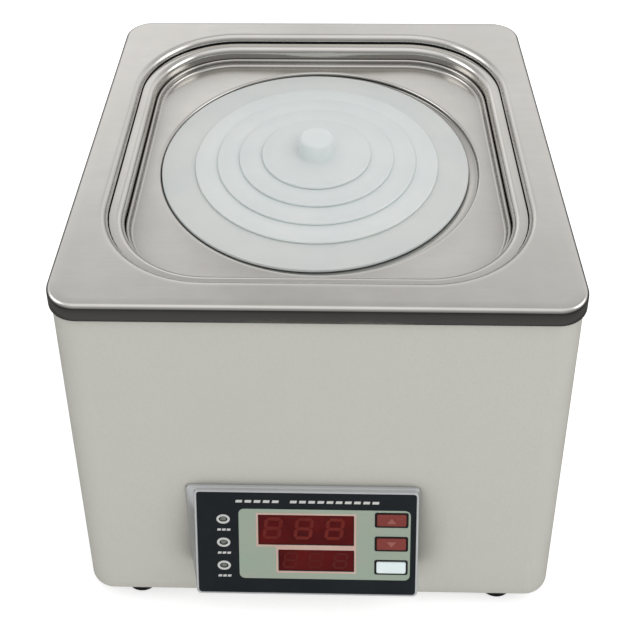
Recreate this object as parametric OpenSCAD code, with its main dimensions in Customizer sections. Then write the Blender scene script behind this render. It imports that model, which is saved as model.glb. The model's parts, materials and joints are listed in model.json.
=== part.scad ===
// Single-hole thermostatic water bath: powder-coated casing, stainless top plate and tank,
// a lift-out cover plate with nested concentric rings, and a sloping controller on the front.
// Units are millimetres. +Z is up and the front faces -Y. The origin lies on the bench,
// under the centre of the casing.

/* [Casing] */
// Outer width and depth of the square casing
body_w = 197.5; // [190:0.5:204]
// Height from the bottom edge of the casing to the top of the top plate
body_h = 163.5; // [160:0.5:190]
// Radius of the four upright casing corners
body_r = 11.5; // [8:0.5:16]
// Sheet thickness of the casing and the base plate
casing_t = 1.2; // [0.8:0.1:1.5]
// Height of the feet under the casing
foot_h = 9; // [6:0.5:14]
// Radius of each foot
foot_r = 7.5; // [6:0.5:10]
// Sideways distance of the feet from the centre
foot_x = 77; // [60:1:80]
// Front-to-back distance of the feet from the centre
foot_y = 87.5; // [60:0.5:90]

/* [Top plate] */
// How far the top plate overhangs the casing on each side
overhang = 1.25; // [0.8:0.05:3]
// Sheet thickness of the top plate
plate_t = 1.0; // [0.8:0.1:1.2]
// Height of the turned-down skirt
skirt_h = 7.5; // [6:0.5:12]
// Width of the rounded-square opening
opening_w = 170.2; // [168:0.2:172]
// Corner radius of the opening
opening_r = 43; // [38:0.5:46]
// Depth of the lip that is turned down round the opening
lip_h = 3.0; // [2:0.25:4]

/* [Tank] */
// Sheet thickness of the tank
tank_t = 0.8; // [0.6:0.1:1]
// Width of the recess that takes the cover plate
recess_w = 157.6; // [154:0.2:160]
// Depth of the shoulder that carries the cover plate, below the flange
shoulder_depth = 9.6; // [8:0.1:14]
// Width of the water space below the shoulder
water_w = 146.4; // [144:0.2:148]
// Depth of the water space, from the shoulder to the floor
water_depth = 103.4; // [90:0.2:106]

/* [Cover plate and rings] */
// Thickness of the cover plate
cover_t = 1.0; // [0.8:0.1:1.5]
// Height of the hemmed rim above the flat of the cover plate
cover_rim_h = 3.2; // [2:0.2:4]
// Radius of the hole in the cover plate
hole_r = 70.1; // [69:0.1:71]
// Thickness of the ring flanges
ring_t = 1.15; // [1:0.05:1.5]
// Outer radii of the four rings and the centre cap, from the largest to the smallest
ring_radii = [67.85, 53.8, 44, 34.2, 24.2];
// Where the loose outer ring sits in its seat
outer_ring_shift = [-1.9, 0.9];
// Where the inner rings and the cap sit on the outer ring
stack_shift = [-1.25, 1.2];
// Radius of the knob on the cap
knob_r = 7.75; // [6:0.25:9]
// Height of the knob above the cap
knob_h = 8.6; // [6:0.2:12]

/* [Controller] */
// Sideways position of the controller face
panel_x = -4.3; // [-6:0.1:6]
// Height of the middle of the controller face above the bench
panel_z = 52.2; // [51.5:0.1:54]
// Distance of the middle of the face in front of the origin
panel_y = 107.1; // [107:0.1:109]
// Lean of the face, its lower edge standing out from the casing
panel_tilt = 13.9; // [13:0.1:15]
// Width of the printed face plate
face_w = 87.8; // [86:0.2:88]
// Height of the printed face plate
face_h = 47.7; // [46:0.1:48]
// Button travel
button_travel = 0.4; // [0.2:0.1:0.5]

/* [Hidden] */
$fn = 96;

// Gap between parts that rest on each other, and a longer one for cuts that run past a face
gap = 0.03;
cut = 5;

// Heights, from the bench up
top_z = foot_h + body_h;
flange_top = top_z - plate_t - 2.5;
flange_bottom = flange_top - tank_t;
casing_top = flange_bottom - gap;
shoulder_z = flange_top - shoulder_depth;
floor_z = shoulder_z - water_depth;
cover_top = shoulder_z + gap + cover_t;
rim_w = body_w + 2 * overhang;
rim_r = body_r + overhang;
inner_w = body_w - 2 * casing_t;
inner_r = body_r - casing_t;

// Tank outline radii run parallel to the opening's
recess_r = opening_r - (opening_w - recess_w) / 2;
water_r = recess_r - (recess_w - water_w) / 2;
flange_w = opening_w + 14;
flange_r = opening_r + 7;
cover_w = recess_w - 0.8;
cover_r = recess_r - 0.4;
cover_rim_t = 1.6;

// Ring seat and rings
seat_ledge_w = 6.6;
seat_z = cover_top - 2.2;
ring_overlap = 4.25;
collar_play = 0.95;
collar_t = 1.4;
collar_h = 5;

// Base and its fasteners
base_z = foot_h + gap;
base_top = base_z + casing_t;
base_flange_z = base_top + gap;
base_flange_w = 15;
stud_at = 87.5;
foot_recess_h = 4;
foot_screw_r = 2;

// Heater, probe and shelf
wall_y = water_w / 2;
wall_out = wall_y + tank_t;
heater_r = 4;
heater_leg_x = 33;
heater_bend_y = -15;
heater_z = floor_z + 10;
probe_r = 3;
probe_z = floor_z + 18;
shelf_z = floor_z + 27;
shelf_t = 1;
shelf_w = water_w - 3.4;

// Controller, in its own frame: X across, Y up the face, Z out of the face
window_1 = [38.1, 13.7, -0.15, 6.25];
window_2 = [30.2, 9.8, 3.9, -8.1];
lamp_x = -33.4;
lamp_pitch = 10.95;
lamp_r = 1.5;
button_w = 12.4;
button_h = 5.9;
button_x = 34.1;
button_ys = [11.55, 0.4, -10.7];
plate_in = 1.0;
board_n = -7.2;
board_t = 1.6;
board_w = 83;
board_h = 40.4;
boss_at = [39.9, 18.1];
wedge_w = face_w + 2;
bezel_flange_w = wedge_w + 3.8;
bezel_offset = 1.4;
wedge_top = 75.9;
wedge_bottom = 28.2;
skirt_w = 87;
front_y = -body_w / 2;

// Rear panel fittings
rear_y = body_w / 2;
inlet_x = 42;
inlet_z = 31;
inlet_w = 50;
inlet_flange_h = 31;
inlet_body_w = 28;
inlet_body_h = 27;
drawer_w = 24;
drawer_h = 7;
drawer_z = inlet_z - 9;
socket_z = inlet_z + 3.6;
switch_x = 0;
switch_z = 31;
rocker_w = 12;
rocker_half = 8.6;
rocker_swing = 12;
rocker_y = rear_y + 0.5;
rocker_pin_r = 1;

// The controller reaches further out in front than the fuse drawer does behind
footprint_shift = 4.94;

// Power board
power_w = 84;
power_d = 60;
power_y = 8;
power_z = base_top + 8;

steel = "#c4c4c2";
coat = "#b9bab0";
milky = "#d6dedf";

// Block with round upright corners, centred on the Z axis
module rounded_block(w, d, r, h) {
  translate([-w / 2 + r, -d / 2, 0]) cube([w - 2 * r, d, h]);
  translate([-w / 2, -d / 2 + r, 0]) cube([w, d - 2 * r, h]);
  for (x = [-1, 1], y = [-1, 1])
    translate([x * (w / 2 - r), y * (d / 2 - r), 0]) cylinder(r = r, h = h);
}

// Upright tube with round corners: width w outside, wall t
module rounded_tube(w, r, t, h) {
  difference() {
    rounded_block(w, w, r, h);
    translate([0, 0, -cut]) rounded_block(w - 2 * t, w - 2 * t, r - t, h + 2 * cut);
  }
}

module ring_solid(outer, inner, h) {
  difference() {
    cylinder(r = outer, h = h);
    translate([0, 0, -cut]) cylinder(r = inner, h = h + 2 * cut);
  }
}

module at_corners(x, y) {
  for (sx = [-1, 1], sy = [-1, 1]) translate([sx * x, sy * y, 0]) children();
}

// Cylinder or hexagon that runs along +Y from y1 to y2
module along_y(x, z, y1, y2, r, sides = 96) {
  translate([x, y1, z]) rotate([-90, 0, 0]) cylinder(r = r, h = y2 - y1, $fn = sides);
}

// Screw that points along +Z, its head below z = 0
module screw(r, length, head_r, head_h) {
  cylinder(r = r, h = length);
  translate([0, 0, -head_h]) cylinder(r = head_r, h = head_h);
}

// Round wire through a list of points
module wire(points, r) {
  for (i = [0:len(points) - 2]) {
    step = points[i + 1] - points[i];
    length = norm(step);
    translate(points[i])
      rotate([0, acos(step[2] / length), atan2(step[1], step[0])]) cylinder(r = r, h = length);
  }
  for (i = [1:len(points) - 2]) translate(points[i]) sphere(r = 1.08 * r, $fn = 32);
}

// ---- casing and base ----

module base_screw_places() {
  for (a = [0:90:270]) rotate(a) for (s = [-45, 45]) translate([s, inner_w / 2 - 5, 0]) children();
}

module casing() {
  h = casing_top - foot_h;
  color(coat) difference() {
    translate([0, 0, foot_h]) rounded_block(body_w, body_w, body_r, h);
    translate([0, 0, foot_h - cut])
      rounded_block(inner_w, inner_w, inner_r, base_flange_z - foot_h + cut);
    translate([0, 0, base_flange_z + casing_t])
      rounded_block(inner_w, inner_w, inner_r, casing_top - 2 * casing_t - base_flange_z);
    translate([0, 0, foot_h])
      rounded_block(inner_w - 2 * base_flange_w, inner_w - 2 * base_flange_w, 4, 20);
    translate([0, 0, casing_top - cut])
      rounded_block(recess_w + 7, recess_w + 7, recess_r + 3.5, 2 * cut);
    translate([0, 0, casing_top - cut]) at_corners(stud_at, stud_at) cylinder(r = 2.3, h = 2 * cut);
    translate([0, 0, foot_h]) base_screw_places() cylinder(r = 1.55, h = 2 * cut);
    translate([0, 0, foot_h]) at_corners(foot_x, foot_y) cylinder(r = foot_screw_r + 0.2, h = 2 * cut);
    translate([panel_x - skirt_w / 2 - 0.2, front_y - cut, 30.3]) cube([skirt_w + 0.4, 2 * cut, 42.9]);
    translate([inlet_x - inlet_body_w / 2 - 0.2, rear_y - cut, inlet_z - inlet_body_h / 2 - 0.2])
      cube([inlet_body_w + 0.4, 2 * cut, inlet_body_h + 0.4]);
    for (s = [-20, 20]) along_y(inlet_x + s, inlet_z, rear_y - cut, rear_y + cut, 1.6);
    translate([switch_x - 6.7, rear_y - cut, switch_z - 9.7]) cube([13.4, 2 * cut, 19.4]);
  }
}

module base_plate() {
  color(coat) difference() {
    translate([0, 0, base_z]) rounded_block(inner_w - 0.3, inner_w - 0.3, inner_r - 0.15, casing_t);
    base_screw_places() cylinder(r = 1.6, h = 20);
    at_corners(foot_x, foot_y) cylinder(r = foot_screw_r + 0.2, h = 20);
    for (x = [-60:15:60], y = [-48, 62])
      translate([x - 1.5, y - 12, 0]) cube([3, 24, 20]);
    translate([0, power_y, 0]) at_corners(power_w / 2 - 4, power_d / 2 - 4) cylinder(r = 1.6, h = 20);
    translate([-75, 55, 0]) cylinder(r = 2.1, h = 20);
  }
}

module base_screws() {
  color("#9a9a9a") base_screw_places()
    translate([0, 0, base_z - gap]) screw(1.5, 6, 2.8, 1.6);
}

module feet() {
  color("#1c1c1e") at_corners(foot_x, foot_y) difference() {
    union() {
      cylinder(r = foot_r - 1, h = 1);
      translate([0, 0, 1]) cylinder(r1 = foot_r - 1, r2 = foot_r, h = foot_h - 1);
    }
    translate([0, 0, -cut]) cylinder(r = 4.2, h = foot_recess_h + cut);
    cylinder(r = foot_screw_r + 0.2, h = 20);
  }
}

module foot_screws() {
  color("#a8a8a8") at_corners(foot_x, foot_y)
    translate([0, 0, foot_recess_h - gap]) screw(foot_screw_r, 12, 3.8, 2.4);
}

module foot_nuts() {
  color("#a8a8a8") translate([0, 0, base_flange_z + casing_t + gap]) at_corners(foot_x, foot_y)
    difference() {
      cylinder(r = 4.04, h = 3.2, $fn = 6);
      translate([0, 0, -1]) cylinder(r = foot_screw_r + 0.05, h = 6);
    }
}

// ---- top plate and tank ----

module top_plate() {
  color(steel) {
    difference() {
      translate([0, 0, top_z - skirt_h]) rounded_block(rim_w, rim_w, rim_r, skirt_h);
      translate([0, 0, top_z - skirt_h - cut])
        rounded_block(rim_w - 2 * plate_t, rim_w - 2 * plate_t, rim_r - plate_t, skirt_h - plate_t + cut);
      translate([0, 0, top_z - cut]) rounded_block(opening_w, opening_w, opening_r, 2 * cut);
    }
    translate([0, 0, top_z - lip_h])
      rounded_tube(opening_w + 2 * plate_t, opening_r + plate_t, plate_t, lip_h);
    translate([0, 0, top_z - plate_t / 2 - 13]) at_corners(stud_at, stud_at) cylinder(r = 2, h = 13);
  }
}

module top_plate_nuts() {
  color("#a8a8a8") translate([0, 0, casing_top - casing_t - gap - 3.2]) at_corners(stud_at, stud_at)
    difference() {
      cylinder(r = 4.04, h = 3.2, $fn = 6);
      translate([0, 0, -1]) cylinder(r = 2.05, h = 6);
    }
}

module tank_gasket() {
  inside = opening_w + 2 * plate_t + 0.1;
  color("#151515") translate([0, 0, flange_top + gap])
    rounded_tube(flange_w - 2, flange_r - 1, (flange_w - 2 - inside) / 2, 2.5 - 2 * gap);
}

module tank() {
  color(steel) difference() {
    union() {
      translate([0, 0, flange_bottom]) rounded_block(flange_w, flange_w, flange_r, tank_t);
      translate([0, 0, shoulder_z - tank_t])
        rounded_block(recess_w + 2 * tank_t, recess_w + 2 * tank_t, recess_r + tank_t,
          flange_bottom - shoulder_z + 1.5 * tank_t);
      translate([0, 0, floor_z - tank_t])
        rounded_block(2 * wall_out, 2 * wall_out, water_r + tank_t, water_depth + tank_t / 2);
    }
    translate([0, 0, shoulder_z]) rounded_block(recess_w, recess_w, recess_r, shoulder_depth + cut);
    translate([0, 0, floor_z]) rounded_block(water_w, water_w, water_r, water_depth + cut);
    for (s = [-1, 1]) along_y(s * heater_leg_x, heater_z, wall_y - cut, wall_out + cut, 6.1);
    along_y(0, probe_z, wall_y - cut, wall_out + cut, 4.6);
  }
}

module insulation() {
  color("#e8dfc0") translate([0, 0, 90])
    rounded_tube(2 * wall_out + 26, water_r + tank_t + 13, 12.4, shoulder_z - tank_t - 0.5 - 90);
}

// ---- heater, probe and cut-out ----

module heater_element() {
  color("#8d8b86") {
    for (s = [-1, 1]) {
      along_y(s * heater_leg_x, heater_z, heater_bend_y, wall_out + 14, heater_r);
      along_y(s * heater_leg_x, heater_z, wall_out + 13, wall_out + 19, 1.5);
    }
    translate([0, heater_bend_y, heater_z]) rotate([0, 0, 180])
      rotate_extrude(angle = 180) translate([heater_leg_x, 0]) circle(r = heater_r);
  }
}

// Threaded bush with an inside flange, on the axis (x, z) through the rear wall of the tank
module wall_bush(x, z, bore_r, bush_r, flange_r) {
  difference() {
    union() {
      along_y(x, z, wall_y - 3.2, wall_out + 10, bush_r);
      along_y(x, z, wall_y - 3.2, wall_y - 1.2, flange_r);
    }
    along_y(x, z, wall_y - 10, wall_out + 20, bore_r + 0.05);
  }
}

module wall_nut(x, z, bush_r, hex_r) {
  difference() {
    along_y(x, z, wall_out + gap, wall_out + 5, hex_r, 6);
    along_y(x, z, wall_out - cut, wall_out + 10, bush_r + 0.05);
  }
}

module heater_fittings() {
  color("#b9a36a") for (s = [-1, 1]) wall_bush(s * heater_leg_x, heater_z, heater_r, 6, 9);
}

module heater_nuts() {
  color("#b9a36a") for (s = [-1, 1]) wall_nut(s * heater_leg_x, heater_z, 6, 9.8);
}

module heater_seals() {
  color("#a8402c") {
    for (s = [-1, 1]) seal(s * heater_leg_x, heater_z, 6, 9);
    seal(0, probe_z, 4.5, 7.5);
  }
}

module seal(x, z, inner_radius, outer_radius) {
  difference() {
    along_y(x, z, wall_y - 1.2 + gap, wall_y - gap, outer_radius);
    along_y(x, z, wall_y - cut, wall_y + cut, inner_radius + 0.05);
  }
}

module temperature_probe() {
  color("#b4b4b0") {
    along_y(0, probe_z, 24, wall_out + 16, probe_r);
    translate([0, 24, probe_z]) sphere(r = probe_r);
  }
}

module probe_gland() {
  color("#b9a36a") wall_bush(0, probe_z, probe_r, 4.5, 7.5);
}

module probe_nut() {
  color("#b9a36a") wall_nut(0, probe_z, 4.5, 8);
}

module thermal_cutout() {
  top = floor_z - tank_t - gap;
  color("#3a3a3c") translate([30, -38, top]) {
    translate([0, 0, -6]) cylinder(r = 8, h = 6);
    translate([0, 0, -10]) cylinder(r = 6.5, h = 5);
    for (s = [-1, 1]) translate([s * 4 - 0.4, -3, -18]) cube([0.8, 6, 9]);
    translate([0, 0, -0.8]) for (s = [-1, 1]) translate([s * 11 - 4, -4, 0]) cube([8, 8, 0.8]);
  }
}

// ---- cover plate, rings and shelf ----

module cover_plate() {
  color(steel) {
    difference() {
      translate([0, 0, cover_top - cover_t])
        rounded_block(cover_w, cover_w, cover_r, cover_rim_h + cover_t);
      translate([0, 0, cover_top])
        rounded_block(cover_w - 2 * cover_rim_t, cover_w - 2 * cover_rim_t, cover_r - cover_rim_t, 20);
      translate([0, 0, cover_top - 10]) cylinder(r = hole_r + cover_t / 2, h = 20);
    }
    translate([0, 0, seat_z - cover_t])
      ring_solid(hole_r + cover_t, hole_r, cover_top - seat_z + cover_t);
    translate([0, 0, seat_z - cover_t])
      ring_solid(hole_r + cover_t / 2, hole_r - seat_ledge_w, cover_t);
  }
}

// Ring n, counted from 0 at the outside, with its flange and the collar that locates it
module ring(n) {
  outer = ring_radii[n];
  bottom = seat_z + gap + n * (ring_t + gap) + (n > 0 ? 0.25 : 0);
  thick = n > 0 ? ring_t : ring_t + 0.25;
  seat_inner = n > 0 ? ring_radii[n] - ring_overlap : hole_r - seat_ledge_w;
  collar_r = n > 0 ? seat_inner - collar_play : seat_inner - 2.3;
  shift = n > 0 ? stack_shift : outer_ring_shift;
  translate([shift[0], shift[1], bottom]) {
    if (n < 4) ring_solid(outer, ring_radii[n + 1] - ring_overlap, thick);
    else cylinder(r = outer, h = thick);
    translate([0, 0, -collar_h]) ring_solid(collar_r, collar_r - collar_t, collar_h + thick / 2);
  }
}

module ring_1() { color(milky) ring(0); }
module ring_2() { color(milky) ring(1); }
module ring_3() { color(milky) ring(2); }
module ring_4() { color(milky) ring(3); }

module centre_cap() {
  knob_z = seat_z + gap + 4 * (ring_t + gap) + 0.25 + ring_t;
  edge = 1.4;
  color(milky) {
    ring(4);
    translate([stack_shift[0], stack_shift[1], knob_z - 0.2]) {
      cylinder(r = knob_r - 0.3, h = knob_h - edge + 0.2);
      translate([0, 0, knob_h - edge + 0.2]) cylinder(r1 = knob_r - 0.3, r2 = knob_r - 0.3 - edge, h = edge);
      translate([0, 0, 1]) cylinder(r = knob_r, h = knob_h - edge - 1);
    }
  }
}

module perforated_shelf() {
  color(steel) {
    difference() {
      translate([0, 0, shelf_z]) rounded_block(shelf_w, shelf_w, water_r - 2, shelf_t);
      for (x = [-56:16:56], y = [-56:16:56])
        translate([x, y, shelf_z - 1]) cylinder(r = 4, h = 4);
    }
    at_corners(48, 48) translate([0, 0, floor_z + gap]) cylinder(r = 3, h = shelf_z - floor_z);
  }
}

// ---- controller ----

module on_panel() {
  translate([panel_x, -panel_y, panel_z]) rotate([90 - panel_tilt, 0, 0]) children();
}

// Box on the panel: centre (x, y), size (w, h), from depth n1 to n2 along the face normal
module panel_box(x, y, w, h, n1, n2) {
  translate([x - w / 2, y - h / 2, n1]) cube([w, h, n2 - n1]);
}

module at_buttons() {
  for (y = button_ys) translate([button_x, y, 0]) children();
}

module at_lamps() {
  for (i = [-1:1]) translate([lamp_x, i * lamp_pitch, 0]) children();
}

module controller_bezel() {
  up = [sin(panel_tilt), cos(panel_tilt)];
  out = [-cos(panel_tilt), sin(panel_tilt)];
  middle = [-panel_y, panel_z];
  rim_out = 0.4;
  bottom_point = middle - (face_h / 2 + 1) * up + rim_out * out;
  top_point = middle + (face_h / 2 + 0.5) * up + rim_out * out;
  back = front_y - gap;
  color("#9d9fa3") difference() {
    union() {
      translate([panel_x, 0, 0]) rotate([90, 0, 90])
        linear_extrude(height = wedge_w, center = true)
          polygon([[back, wedge_bottom], bottom_point, top_point, [back, wedge_top]]);
      translate([panel_x - bezel_offset - bezel_flange_w / 2, back - 1.2, wedge_bottom])
        cube([bezel_flange_w, 1.2, wedge_top - wedge_bottom]);
      translate([panel_x - skirt_w / 2, back - 1, 30.5]) cube([skirt_w, 8.5, 42.5]);
    }
    on_panel() panel_box(0, 0, face_w + 0.1, face_h + 0.1, -plate_in - gap, cut);
    difference() {
      on_panel() panel_box(0, 0, board_w + 0.8, board_h + 0.6, -12, 1);
      on_panel() for (x = [-1, 1], y = [-1, 1])
        translate([x * boss_at[0], y * boss_at[1], board_n + gap]) cylinder(r = 2.4, h = 10);
    }
    translate([panel_x - skirt_w / 2 + 1.5, -104, 32]) cube([skirt_w - 3, 20, 40.2]);
    on_panel() for (x = [-1, 1], y = [-1, 1])
      translate([x * boss_at[0], y * boss_at[1], board_n - 1]) cylinder(r = 1.0, h = 6);
  }
}

module face_plate() {
  color("#23282d") on_panel() difference() {
    translate([0, 0, -plate_in]) rounded_block(face_w, face_h, 1.5, plate_in);
    for (w = [window_1, window_2]) panel_box(w[2], w[3], w[0], w[1], -cut, cut);
    at_lamps() translate([0, 0, -cut]) cylinder(r = lamp_r + 0.1, h = 2 * cut);
    at_buttons() panel_box(0, 0, button_w, button_h, -cut, cut);
  }
}

module window_lens(w) {
  color("#5c1114") on_panel() panel_box(w[2], w[3], w[0] - 0.1, w[1] - 0.1, -plate_in, -0.1);
}

module main_window() { window_lens(window_1); }
module lower_window() { window_lens(window_2); }

module display_module(w) {
  color("#2a0d0f") on_panel()
    panel_box(w[2], w[3], w[0] - 0.5, w[1] - 0.3, board_n + gap, -plate_in - gap);
}

module main_display() { display_module(window_1); }
module lower_display() { display_module(window_2); }

module status_lamps() {
  color("#7c8078") on_panel() at_lamps() {
    translate([0, 0, board_n + gap]) cylinder(r = lamp_r, h = -board_n - 0.3);
    translate([0, 0, -0.3]) cylinder(r1 = lamp_r, r2 = lamp_r - 0.6, h = 0.5);
  }
}

module controller_board() {
  color("#1f5a36") on_panel() difference() {
    panel_box(0, 0, board_w, board_h, board_n - board_t, board_n);
    for (x = [-1, 1], y = [-1, 1])
      translate([x * boss_at[0], y * boss_at[1], board_n - cut]) cylinder(r = 1.15, h = 2 * cut);
  }
}

module board_screws() {
  color("#a8a8a8") on_panel() for (x = [-1, 1], y = [-1, 1])
    translate([x * boss_at[0], y * boss_at[1], board_n - board_t - gap]) screw(0.95, 5, 1.5, 1.2);
}

module tact_switches() {
  color("#2c2c30") on_panel() at_buttons() difference() {
    panel_box(0, 0, 6, 6, board_n + gap, -3.5);
    translate([0, 0, -5.3]) cylinder(r = 1.8, h = cut);
  }
}

module button(y) {
  on_panel() translate([button_x, y, 0]) {
    panel_box(0, 0, button_w - 0.5, button_h - 0.5, -1.5, 0.6);
    panel_box(0, 0, button_w + 1, button_h + 1, -1.8, -plate_in - 0.1);
    translate([0, 0, -3.9]) cylinder(r = 1.7, h = 3);
  }
}

module up_button() { color("#8c3a35") button(button_ys[0]); }
module down_button() { color("#8c3a35") button(button_ys[1]); }
module set_button() { color("#e6ecec") button(button_ys[2]); }

module clamp_brackets() {
  color("#b0b0ae") for (s = [-1, 1]) difference() {
    translate([panel_x + s * (skirt_w / 2 + gap + 4) - 4, front_y + casing_t + 1.2, 45])
      cube([8, 6, 14]);
    along_y(panel_x + s * (skirt_w / 2 + 5), 52, front_y, front_y + 20, 1.55);
  }
}

module clamp_screws() {
  color("#a8a8a8") for (s = [-1, 1]) {
    x = panel_x + s * (skirt_w / 2 + 5);
    along_y(x, 52, front_y + casing_t + gap, front_y + 14, 1.5);
    along_y(x, 52, front_y + 13, front_y + 15, 2.8);
  }
}

// ---- power board and wiring ----

module at_power_corners() {
  translate([0, power_y, 0]) at_corners(power_w / 2 - 4, power_d / 2 - 4) children();
}

module board_standoffs() {
  color("#d8d8d0") at_power_corners() {
    translate([0, 0, base_top + gap]) cylinder(r = 3, h = power_z - base_top - 2 * gap);
    translate([0, 0, power_z - 1]) cylinder(r = 1.5, h = 5);
    translate([0, 0, base_top - 2.5]) cylinder(r = 1.5, h = 4);
    translate([0, 0, base_z - 2]) cylinder(r = 2.6, h = 2 - gap);
  }
}

module power_board() {
  color("#2a6a3c") difference() {
    translate([-power_w / 2, power_y - power_d / 2, power_z]) cube([power_w, power_d, board_t]);
    at_power_corners() cylinder(r = 1.6, h = 60);
  }
}

module transformer() {
  z = power_z + board_t + gap;
  color("#4a4a4c") translate([-20, power_y, z]) {
    translate([-17, -8, 0]) cube([34, 16, 24]);
    translate([-10, -13, 2]) cube([20, 26, 18]);
  }
}

module relay() {
  color("#24567e") translate([14, power_y - 18, power_z + board_t + gap]) cube([19, 15.5, 15]);
}

module terminal_block() {
  color("#35704a") translate([-4, power_y + 18, power_z + board_t + gap]) difference() {
    cube([40, 9, 11]);
    for (i = [0:4]) translate([4 + i * 8, 4.5, 6]) cylinder(r = 2, h = 20);
    for (i = [0:4]) translate([4 + i * 8 - 2, 6, 1.5]) cube([4, 10, 4]);
  }
}

module wiring() {
  z = power_z + board_t + 4;
  block_y = power_y + 25.5;
  color("#b03a2e") {
    for (s = [-1, 1]) {
      x = 16 + s * 16;
      wire([[x, block_y, z], [x, 44, z], [s * 18, 60, 44], [s * heater_leg_x, wall_out + 21, 52],
        [s * heater_leg_x, wall_out + 21, heater_z - 2.2]], 0.9);
    }
    wire([[16, block_y, z], [16, 50, z], [12, wall_out + 18, 58], [0, wall_out + 18, probe_z - 1],
      [0, wall_out + 17, probe_z]], 0.9);
  }
}

module earth_stud() {
  color("#c2a14a") translate([-75, 55, base_z - 3]) {
    cylinder(r = 2, h = 18);
    translate([0, 0, 0.6]) cylinder(r = 4, h = 3 - 0.6 - gap, $fn = 6);
    translate([0, 0, 3 + casing_t + gap]) cylinder(r = 4, h = 3.2, $fn = 6);
  }
}

// ---- rear inlet and switch ----

module inlet_housing() {
  color("#18181a") difference() {
    union() {
      translate([inlet_x - inlet_w / 2, rear_y + gap, inlet_z - inlet_flange_h / 2])
        cube([inlet_w, 2.5, inlet_flange_h]);
      translate([inlet_x - inlet_body_w / 2, rear_y - 25, inlet_z - inlet_body_h / 2])
        cube([inlet_body_w, 26, inlet_body_h]);
    }
    translate([inlet_x - 12.2, rear_y - 14, socket_z - 8]) cube([24.4, 20, 16]);
    translate([inlet_x - drawer_w / 2 - 0.1, rear_y - 16, drawer_z - drawer_h / 2 + 0.4])
      cube([drawer_w + 0.2, 30, drawer_h - 0.8]);
    for (s = [-20, 20]) along_y(inlet_x + s, inlet_z, rear_y - cut, rear_y + cut, 1.6);
  }
}

module inlet_pins() {
  color("#c9b26a") for (p = [[-7, -2.2], [7, -2.2], [0, 1.8]]) {
    translate([inlet_x + p[0] - 1, rear_y - 13.9, socket_z + p[1] - 2]) cube([2, 12, 4]);
  }
}

module inlet_screws() {
  color("#a8a8a8") for (s = [-20, 20]) {
    along_y(inlet_x + s, inlet_z, rear_y - 6, rear_y + 2.6, 1.5);
    along_y(inlet_x + s, inlet_z, rear_y + 2.5 + 2 * gap, rear_y + 4.2, 2.7);
  }
}

module fuse_drawer() {
  bottom = drawer_z - drawer_h / 2;
  color("#222226") difference() {
    union() {
      translate([inlet_x - drawer_w / 2, rear_y - 15, bottom + 0.5]) cube([drawer_w, 18.2, drawer_h - 1]);
      translate([inlet_x - drawer_w / 2 - 0.8, rear_y + 2.5 + 2 * gap, bottom])
        cube([drawer_w + 1.6, 1.5, drawer_h]);
    }
    translate([inlet_x - 10.8, rear_y - 12, bottom + 0.7 - cut]) cube([21.6, 6, drawer_h - 1.8 + cut]);
  }
}

module fuse() {
  color("#d9dcd8") translate([inlet_x - 10.4, rear_y - 9, drawer_z])
    rotate([0, 90, 0]) cylinder(r = 2.1, h = 20.8);
}

module switch_housing() {
  color("#18181a") difference() {
    union() {
      translate([switch_x - 7.8, rear_y + gap, switch_z - 11]) cube([15.6, 2, 22]);
      translate([switch_x - 6.5, rear_y - 14, switch_z - 9.5]) cube([13, 15, 19]);
    }
    translate([switch_x - rocker_w / 2 - 0.1, rear_y - 9, switch_z - 9.3])
      cube([rocker_w + 0.2, 20, 18.6]);
    rocker_pin(rocker_pin_r + 0.1, rocker_w + 1.4);
  }
}

module rocker_pin(r, length) {
  translate([switch_x, rocker_y, switch_z]) rotate([0, 90, 0])
    cylinder(r = r, h = length, center = true);
}

module switch_rocker() {
  color("#7d1f1c") {
    translate([switch_x, rocker_y, switch_z]) rotate([-rocker_swing, 0, 0])
      rotate([90, 0, 90]) linear_extrude(height = rocker_w, center = true)
        polygon([[-5, 3], [-1.5, rocker_half], [2.6, rocker_half], [1.6, 0],
          [2.6, -rocker_half], [-1.5, -rocker_half], [-5, -3]]);
    rocker_pin(rocker_pin_r, rocker_w + 1);
  }
}

// Brings the middle of the whole footprint, not of the casing, over the origin
module placed() {
  translate([0, footprint_shift, 0]) children();
}

placed() casing();
placed() base_plate();
placed() base_screws();
placed() feet();
placed() foot_screws();
placed() foot_nuts();
placed() top_plate();
placed() top_plate_nuts();
placed() tank_gasket();
placed() tank();
placed() insulation();
placed() heater_element();
placed() heater_fittings();
placed() heater_nuts();
placed() heater_seals();
placed() temperature_probe();
placed() probe_gland();
placed() probe_nut();
placed() thermal_cutout();
placed() cover_plate();
placed() ring_1();
placed() ring_2();
placed() ring_3();
placed() ring_4();
placed() centre_cap();
placed() perforated_shelf();
placed() controller_bezel();
placed() face_plate();
placed() main_window();
placed() lower_window();
placed() main_display();
placed() lower_display();
placed() status_lamps();
placed() controller_board();
placed() board_screws();
placed() tact_switches();
placed() up_button();
placed() down_button();
placed() set_button();
placed() clamp_brackets();
placed() clamp_screws();
placed() power_board();
placed() board_standoffs();
placed() transformer();
placed() relay();
placed() terminal_block();
placed() wiring();
placed() inlet_housing();
placed() inlet_pins();
placed() inlet_screws();
placed() fuse_drawer();
placed() fuse();
placed() switch_housing();
placed() switch_rocker();
placed() earth_stud();
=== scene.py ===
"""Looks of the single-hole water bath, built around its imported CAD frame.

Lengths are given in millimetres and turned into metres by MM where they are used.
"""

import json
import math

import bmesh
import bpy
from mathutils import Matrix, Vector
from mathutils.geometry import tessellate_polygon


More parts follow.
